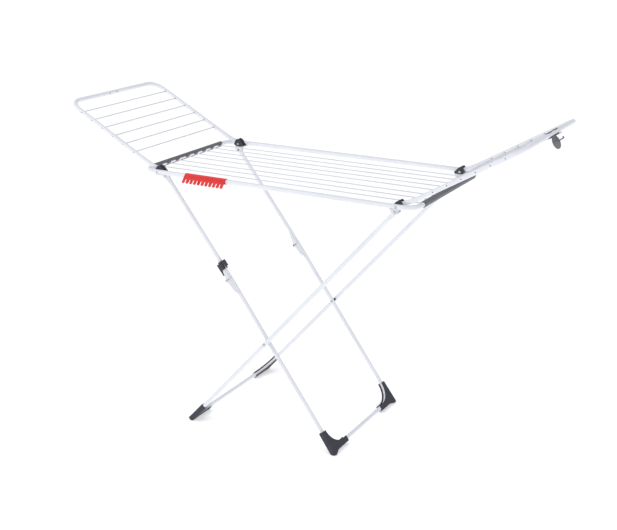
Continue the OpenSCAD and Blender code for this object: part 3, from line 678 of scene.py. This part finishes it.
def foot_bar_centre(node, side):
    """Centre of a foot bar from its node's box; side is the end of the rack it stands at."""
    low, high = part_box(node)
    return Vector(((low.x + LEG_R) if side < 0 else (high.x - LEG_R), 0, low.z + LEG_R))


def outer_leg():
    top = pivot("leg_fold")
    bar = foot_bar_centre("outer_leg_foot_bar", -1)
    run = bar - Vector((top.x, 0, top.z))
    squeezed_u("outer_leg_tube", "outer_leg",
               ("outer_leg_arm_near", "outer_leg_arm_far", "outer_leg_foot_bar"),
               top, run.normalized(), LEG_END, run.length, middle("outer_leg_arm_far").y, LEG_BEND,
               LEG_R)


def axis_run(across, down, inset):
    """Unit vector and length of a sloping tube's axis, from the sides of its box.

    The round ends reach past the axis by `inset` in all, shared by the slope, which is found by
    repeating."""
    slope = math.atan2(down, across)
    for _ in range(12):
        x = across - inset * math.sin(slope)
        z = down - inset * math.cos(slope)
        slope = math.atan2(z, x)
    return Vector((math.cos(slope), 0, -math.sin(slope))), math.hypot(x, z)


def inner_leg_top():
    """The two short squeezed tubes above the knee."""
    y = middle("inner_leg_arm_far").y
    top = pivot("inner_leg_pivot")
    low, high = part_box("inner_leg_upper_far")
    direction, length = axis_run(high.x - top.x, top.z - low.z, LEG_R)
    squeezed_len = LEG_END.eye_r + LEG_END.flat + CRIMP
    for sign, word in ((-1, "near"), (1, "far")):
        eye = Vector((top.x, sign * y, top.z))
        start, end = eye - direction * LEG_END.eye_r, eye + direction * length
        path = tip_points(start, direction, squeezed_len)
        path += straight(start + direction * squeezed_len, end) + [end]
        sections = []
        for mark in distances(path):
            half_t, half_h, power = squeezed(mark, LEG_END, LEG_R)
            sections.append(superellipse(half_h, half_t, power, TUBE_SIDES))
        bm = bmesh.new()
        sweep(bm, path, direction.cross(Y_AXIS), sections)
        place(bm, f"inner_upper_tube_{word}", "tube_enamel", "inner_leg_top",
              (f"inner_leg_upper_{word}",))


def inner_leg_bottom():
    """The long U below the knee."""
    bar = foot_bar_centre("inner_leg_foot_bar", 1)
    low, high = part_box("inner_leg_arm_far")
    direction, _ = axis_run(high.x - low.x, high.z - low.z, 2 * LEG_R)
    start = Vector((low.x - LEG_R * direction.z, 0, high.z - LEG_R * direction.x))
    near = start - Y_AXIS * middle("inner_leg_arm_far").y
    path, side = u_path(near, direction, (bar - start).length, LEG_BEND, PLAIN_TIP)
    bm = bmesh.new()
    sweep(bm, path, side, [superellipse(LEG_R, LEG_R, 2, TUBE_SIDES)] * len(path))
    place(bm, "inner_leg_tube", "tube_enamel", "inner_leg_bottom",
          ("inner_leg_arm_near", "inner_leg_arm_far", "inner_leg_foot_bar"))


# ------------------------------------------------------------------ rivets, bolts and small parts

def dome(r, height):
    """Profile of a pressed bolt head with a shallow dimple, from its underside up."""
    return [(0, -0.4 * MM), (r, -0.4 * MM), (r, 0.1 * height), (r * 0.93, 0.45 * height),
            (r * 0.75, 0.8 * height), (r * 0.5, height), (r * 0.36, height * 0.97),
            (r * 0.28, height * 0.8), (r * 0.12, height * 0.74), (0, height * 0.74)]


def rolled(r, height):
    """Profile of a tubular rivet's rolled rim round its open middle, from its underside up."""
    return [(0, -0.4 * MM), (r, -0.4 * MM), (r, 0.15 * height), (r * 0.93, 0.55 * height),
            (r * 0.84, 0.9 * height), (r * 0.76, height), (r * 0.68, 0.88 * height),
            (r * 0.64, 0.5 * height), (r * 0.62, 0.1 * height), (0, 0.1 * height)]


def heads(name, body, places, size, replaces, open_outside=False):
    """Heads on both ends of pins along y: places are (x, z, y inside, y outside).

    size is (radius, height). Each pin has a pressed head at one end, and its tube is rolled open
    at the other, where a dark disc of painted shade fills the open middle."""
    r, height = size
    bm, holes = bmesh.new(), bmesh.new()
    for x, z, y_in, y_out in places:
        for sign in (-1, 1):
            for y, way, outside in ((y_out, sign, True), (y_in, -sign, False)):
                at = facing(Vector((x, sign * y, z)), Vector((0, way, 0)))
                if outside != open_outside:
                    lathe(bm, dome(r, height), at)
                    continue
                lathe(bm, rolled(r, height), at)
                # a dark disc of painted shade in the rolled rivet's open middle
                bore_shade_profile = [(0, 0), (r * 0.61, 0), (r * 0.60, 0.25 * height), (0, 0.22 * height)]
                lathe(holes, bore_shade_profile, at, 20)
    place(bm, name, "rivet_steel", body, replaces)
    place(holes, name.replace("heads", "holes"), "rivet_steel", body, material=PAINTED_SHADE)


def rivets():
    """Heads on the pins that the wings, the legs and the knee turn on, and on the spacers."""
    hinge_x = abs(pivot("left_wing_hinge").x)
    housing_y = -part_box("wing_bracket_left_near")[1].y
    heads("wing_rivet_heads", "frame",
          [(s * hinge_x, RAIL_Z, housing_y, RAIL_Y + RAIL_R - RAIL_HEAD_SINK) for s in (-1, 1)],
          RIVET_HEAD, ("wing_hinge_rivets",), open_outside=True)

    outer, inner = pivot("leg_fold"), pivot("inner_leg_pivot")
    outer_y, inner_y = middle("outer_leg_arm_far").y, middle("inner_leg_upper_far").y
    outer_reach = outer_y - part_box("leg_bracket_right_far")[0].y
    inner_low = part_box("leg_bracket_left_far")[0].y
    heads("leg_rivet_heads", "frame",
          [(outer.x, outer.z, outer_y - outer_reach, outer_y + outer_reach),
           (inner.x, inner.z, inner_low, 2 * inner_y - inner_low)],
          RIVET_HEAD, ("leg_pivot_rivets",))

    spacer = middle("bracket_spacer_rivets")
    heads("spacer_rivet_heads", "frame",
          [(spacer.x, spacer.z, outer_y - outer_reach, outer_y + outer_reach)],
          SPACER_HEAD, ("bracket_spacer_rivets",))

    knee = pivot("knee_pivot")
    fork_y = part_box("knee_rivets")[1].y - 1.8 * MM      # the CAD rivet's end, less its head
    heads("knee_rivet_heads", "inner_leg_bottom",
          [(knee.x, knee.z, 2 * inner_y - fork_y, fork_y)], RIVET_HEAD, ("knee_rivets",))


def crossing():
    """Bolt heads on the outer leg and the nuts' caps on the inner one."""
    bolt_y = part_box("crossing_bolts")[1].y - 2.4 * MM
    cap_y = middle("inner_leg_arm_far").y - LEG_R - 0.05 * MM
    for name, body, node, y, way in (
            ("crossing_bolt_heads", "outer_leg", "crossing_bolts", bolt_y, 1),
            ("crossing_nut_caps", "inner_leg_bottom", "crossing_nuts", cap_y, -1)):
        centre = middle(node)
        bm = bmesh.new()
        for sign in (-1, 1):
            lathe(bm, dome(*BOLT_HEAD), facing(Vector((centre.x, sign * y, centre.z)),
                                               Vector((0, sign * way, 0))))
        place(bm, name, "rivet_steel", body, (node,))


# ------------------------------------------------------------------ softened CAD pieces

def moulded_parts():
    for word in ("left_near", "left_far", "right_near", "right_far"):
        softened(f"wing_bracket_{word}", "hinge_plastic", "frame", 0.9 * MM, 3)
        softened(f"leg_bracket_{word}", "bracket_enamel", "frame", 0.5 * MM)
    for word in ("near", "far"):
        softened(f"outer_foot_{word}", "foot_plastic", "outer_leg", 0.9 * MM, 3)
        softened(f"inner_foot_{word}", "foot_plastic", "inner_leg_bottom", 0.9 * MM, 3)
        softened(f"knee_ear_{word}", "bracket_enamel", "inner_leg_top", 0.4 * MM)
        softened(f"knee_fork_{word}", "bracket_enamel", "inner_leg_bottom", 0.4 * MM)
    softened("outer_foot_pads", "pad_rubber", "outer_leg", 0.5 * MM)
    softened("inner_foot_pads", "pad_rubber", "inner_leg_bottom", 0.5 * MM)
    softened("crossing_spacers", "hinge_plastic", "outer_leg", 0.4 * MM)
    softened("knee_lock", "hinge_plastic", "knee_lock", 0.6 * MM)
    softened("small_items_clip", "red_plastic", "small_items_clip", 0.5 * MM)
    softened("hanger_holder", "holder_plastic", "hanger_holder", 0.5 * MM)


# ------------------------------------------------------------------ stage, light and camera

def stage():
    """A pale floor and a bright, slightly cool studio."""
    bm = bmesh.new()
    bmesh.ops.create_grid(bm, x_segments=1, y_segments=1, size=30)
    mesh = bpy.data.meshes.new("floor")
    bm.to_mesh(mesh)
    bm.free()
    floor = bpy.data.objects.new("floor", mesh)
    bpy.context.scene.collection.objects.link(floor)
    s = Shader("floor_white", (0.90, 0.90, 0.90), 0.9)
    s.out.inputs["Emission Color"].default_value = (1, 1, 1, 1)
    s.out.inputs["Emission Strength"].default_value = 0.42
    mesh.materials.append(s.mat)
    world = bpy.data.worlds.new("studio")
    world.use_nodes = True
    world.node_tree.nodes["Background"].inputs["Color"].default_value = (0.955, 0.962, 1.0, 1)
    world.node_tree.nodes["Background"].inputs["Strength"].default_value = 0.71
    bpy.context.scene.world = world
    bpy.context.scene.view_settings.view_transform = "Standard"


def area_light(name, eye, target, size, power):
    light = bpy.data.lights.new(name, "AREA")
    light.shape = "DISK"
    light.size = size
    light.energy = power
    lamp = bpy.data.objects.new(name, light)
    lamp.matrix_world = facing(Vector(eye), (Vector(eye) - Vector(target)).normalized())
    bpy.context.scene.collection.objects.link(lamp)


def camera():
    """The photograph's view: a long lens, a little above the frame, turned 30 degrees."""
    eye = Vector((1.8121, -3.1413, 1.8373))
    yaw, pitch, roll = math.radians(30.19), math.radians(19.256), math.radians(-0.342)
    look = Vector((-math.sin(yaw) * math.cos(pitch), math.cos(yaw) * math.cos(pitch),
                   -math.sin(pitch)))
    right = Vector((math.cos(yaw), math.sin(yaw), 0))
    up = right.cross(look)
    x_axis = right * math.cos(roll) + up * math.sin(roll)
    y_axis = up * math.cos(roll) - right * math.sin(roll)
    turn = Matrix((x_axis, y_axis, -look)).transposed().to_4x4()
    data = bpy.data.cameras.new("camera")
    data.lens = 62.70
    data.sensor_width = 36
    data.shift_x = 0.0019
    data.shift_y = 0.0081
    cam = bpy.data.objects.new("camera", data)
    cam.matrix_world = Matrix.Translation(eye) @ turn
    bpy.context.scene.collection.objects.link(cam)
    bpy.context.scene.camera = cam


camera()
stage()
area_light("key", (-2.2, -2.6, 3.4), (0, 0, 0.7), size=1.8, power=36)
area_light("fill", (3.2, -1.2, 2.2), (0, 0, 0.7), size=2.6, power=8)
frame_tube()
frame_rods()
end_strip(-1, "end_strip_left")
end_strip(1, "end_strip_right")
wing(-1, "left")
wing(1, "right")
left_bar_holes()
outer_leg()
inner_leg_top()
inner_leg_bottom()
rivets()
crossing()
moulded_parts()
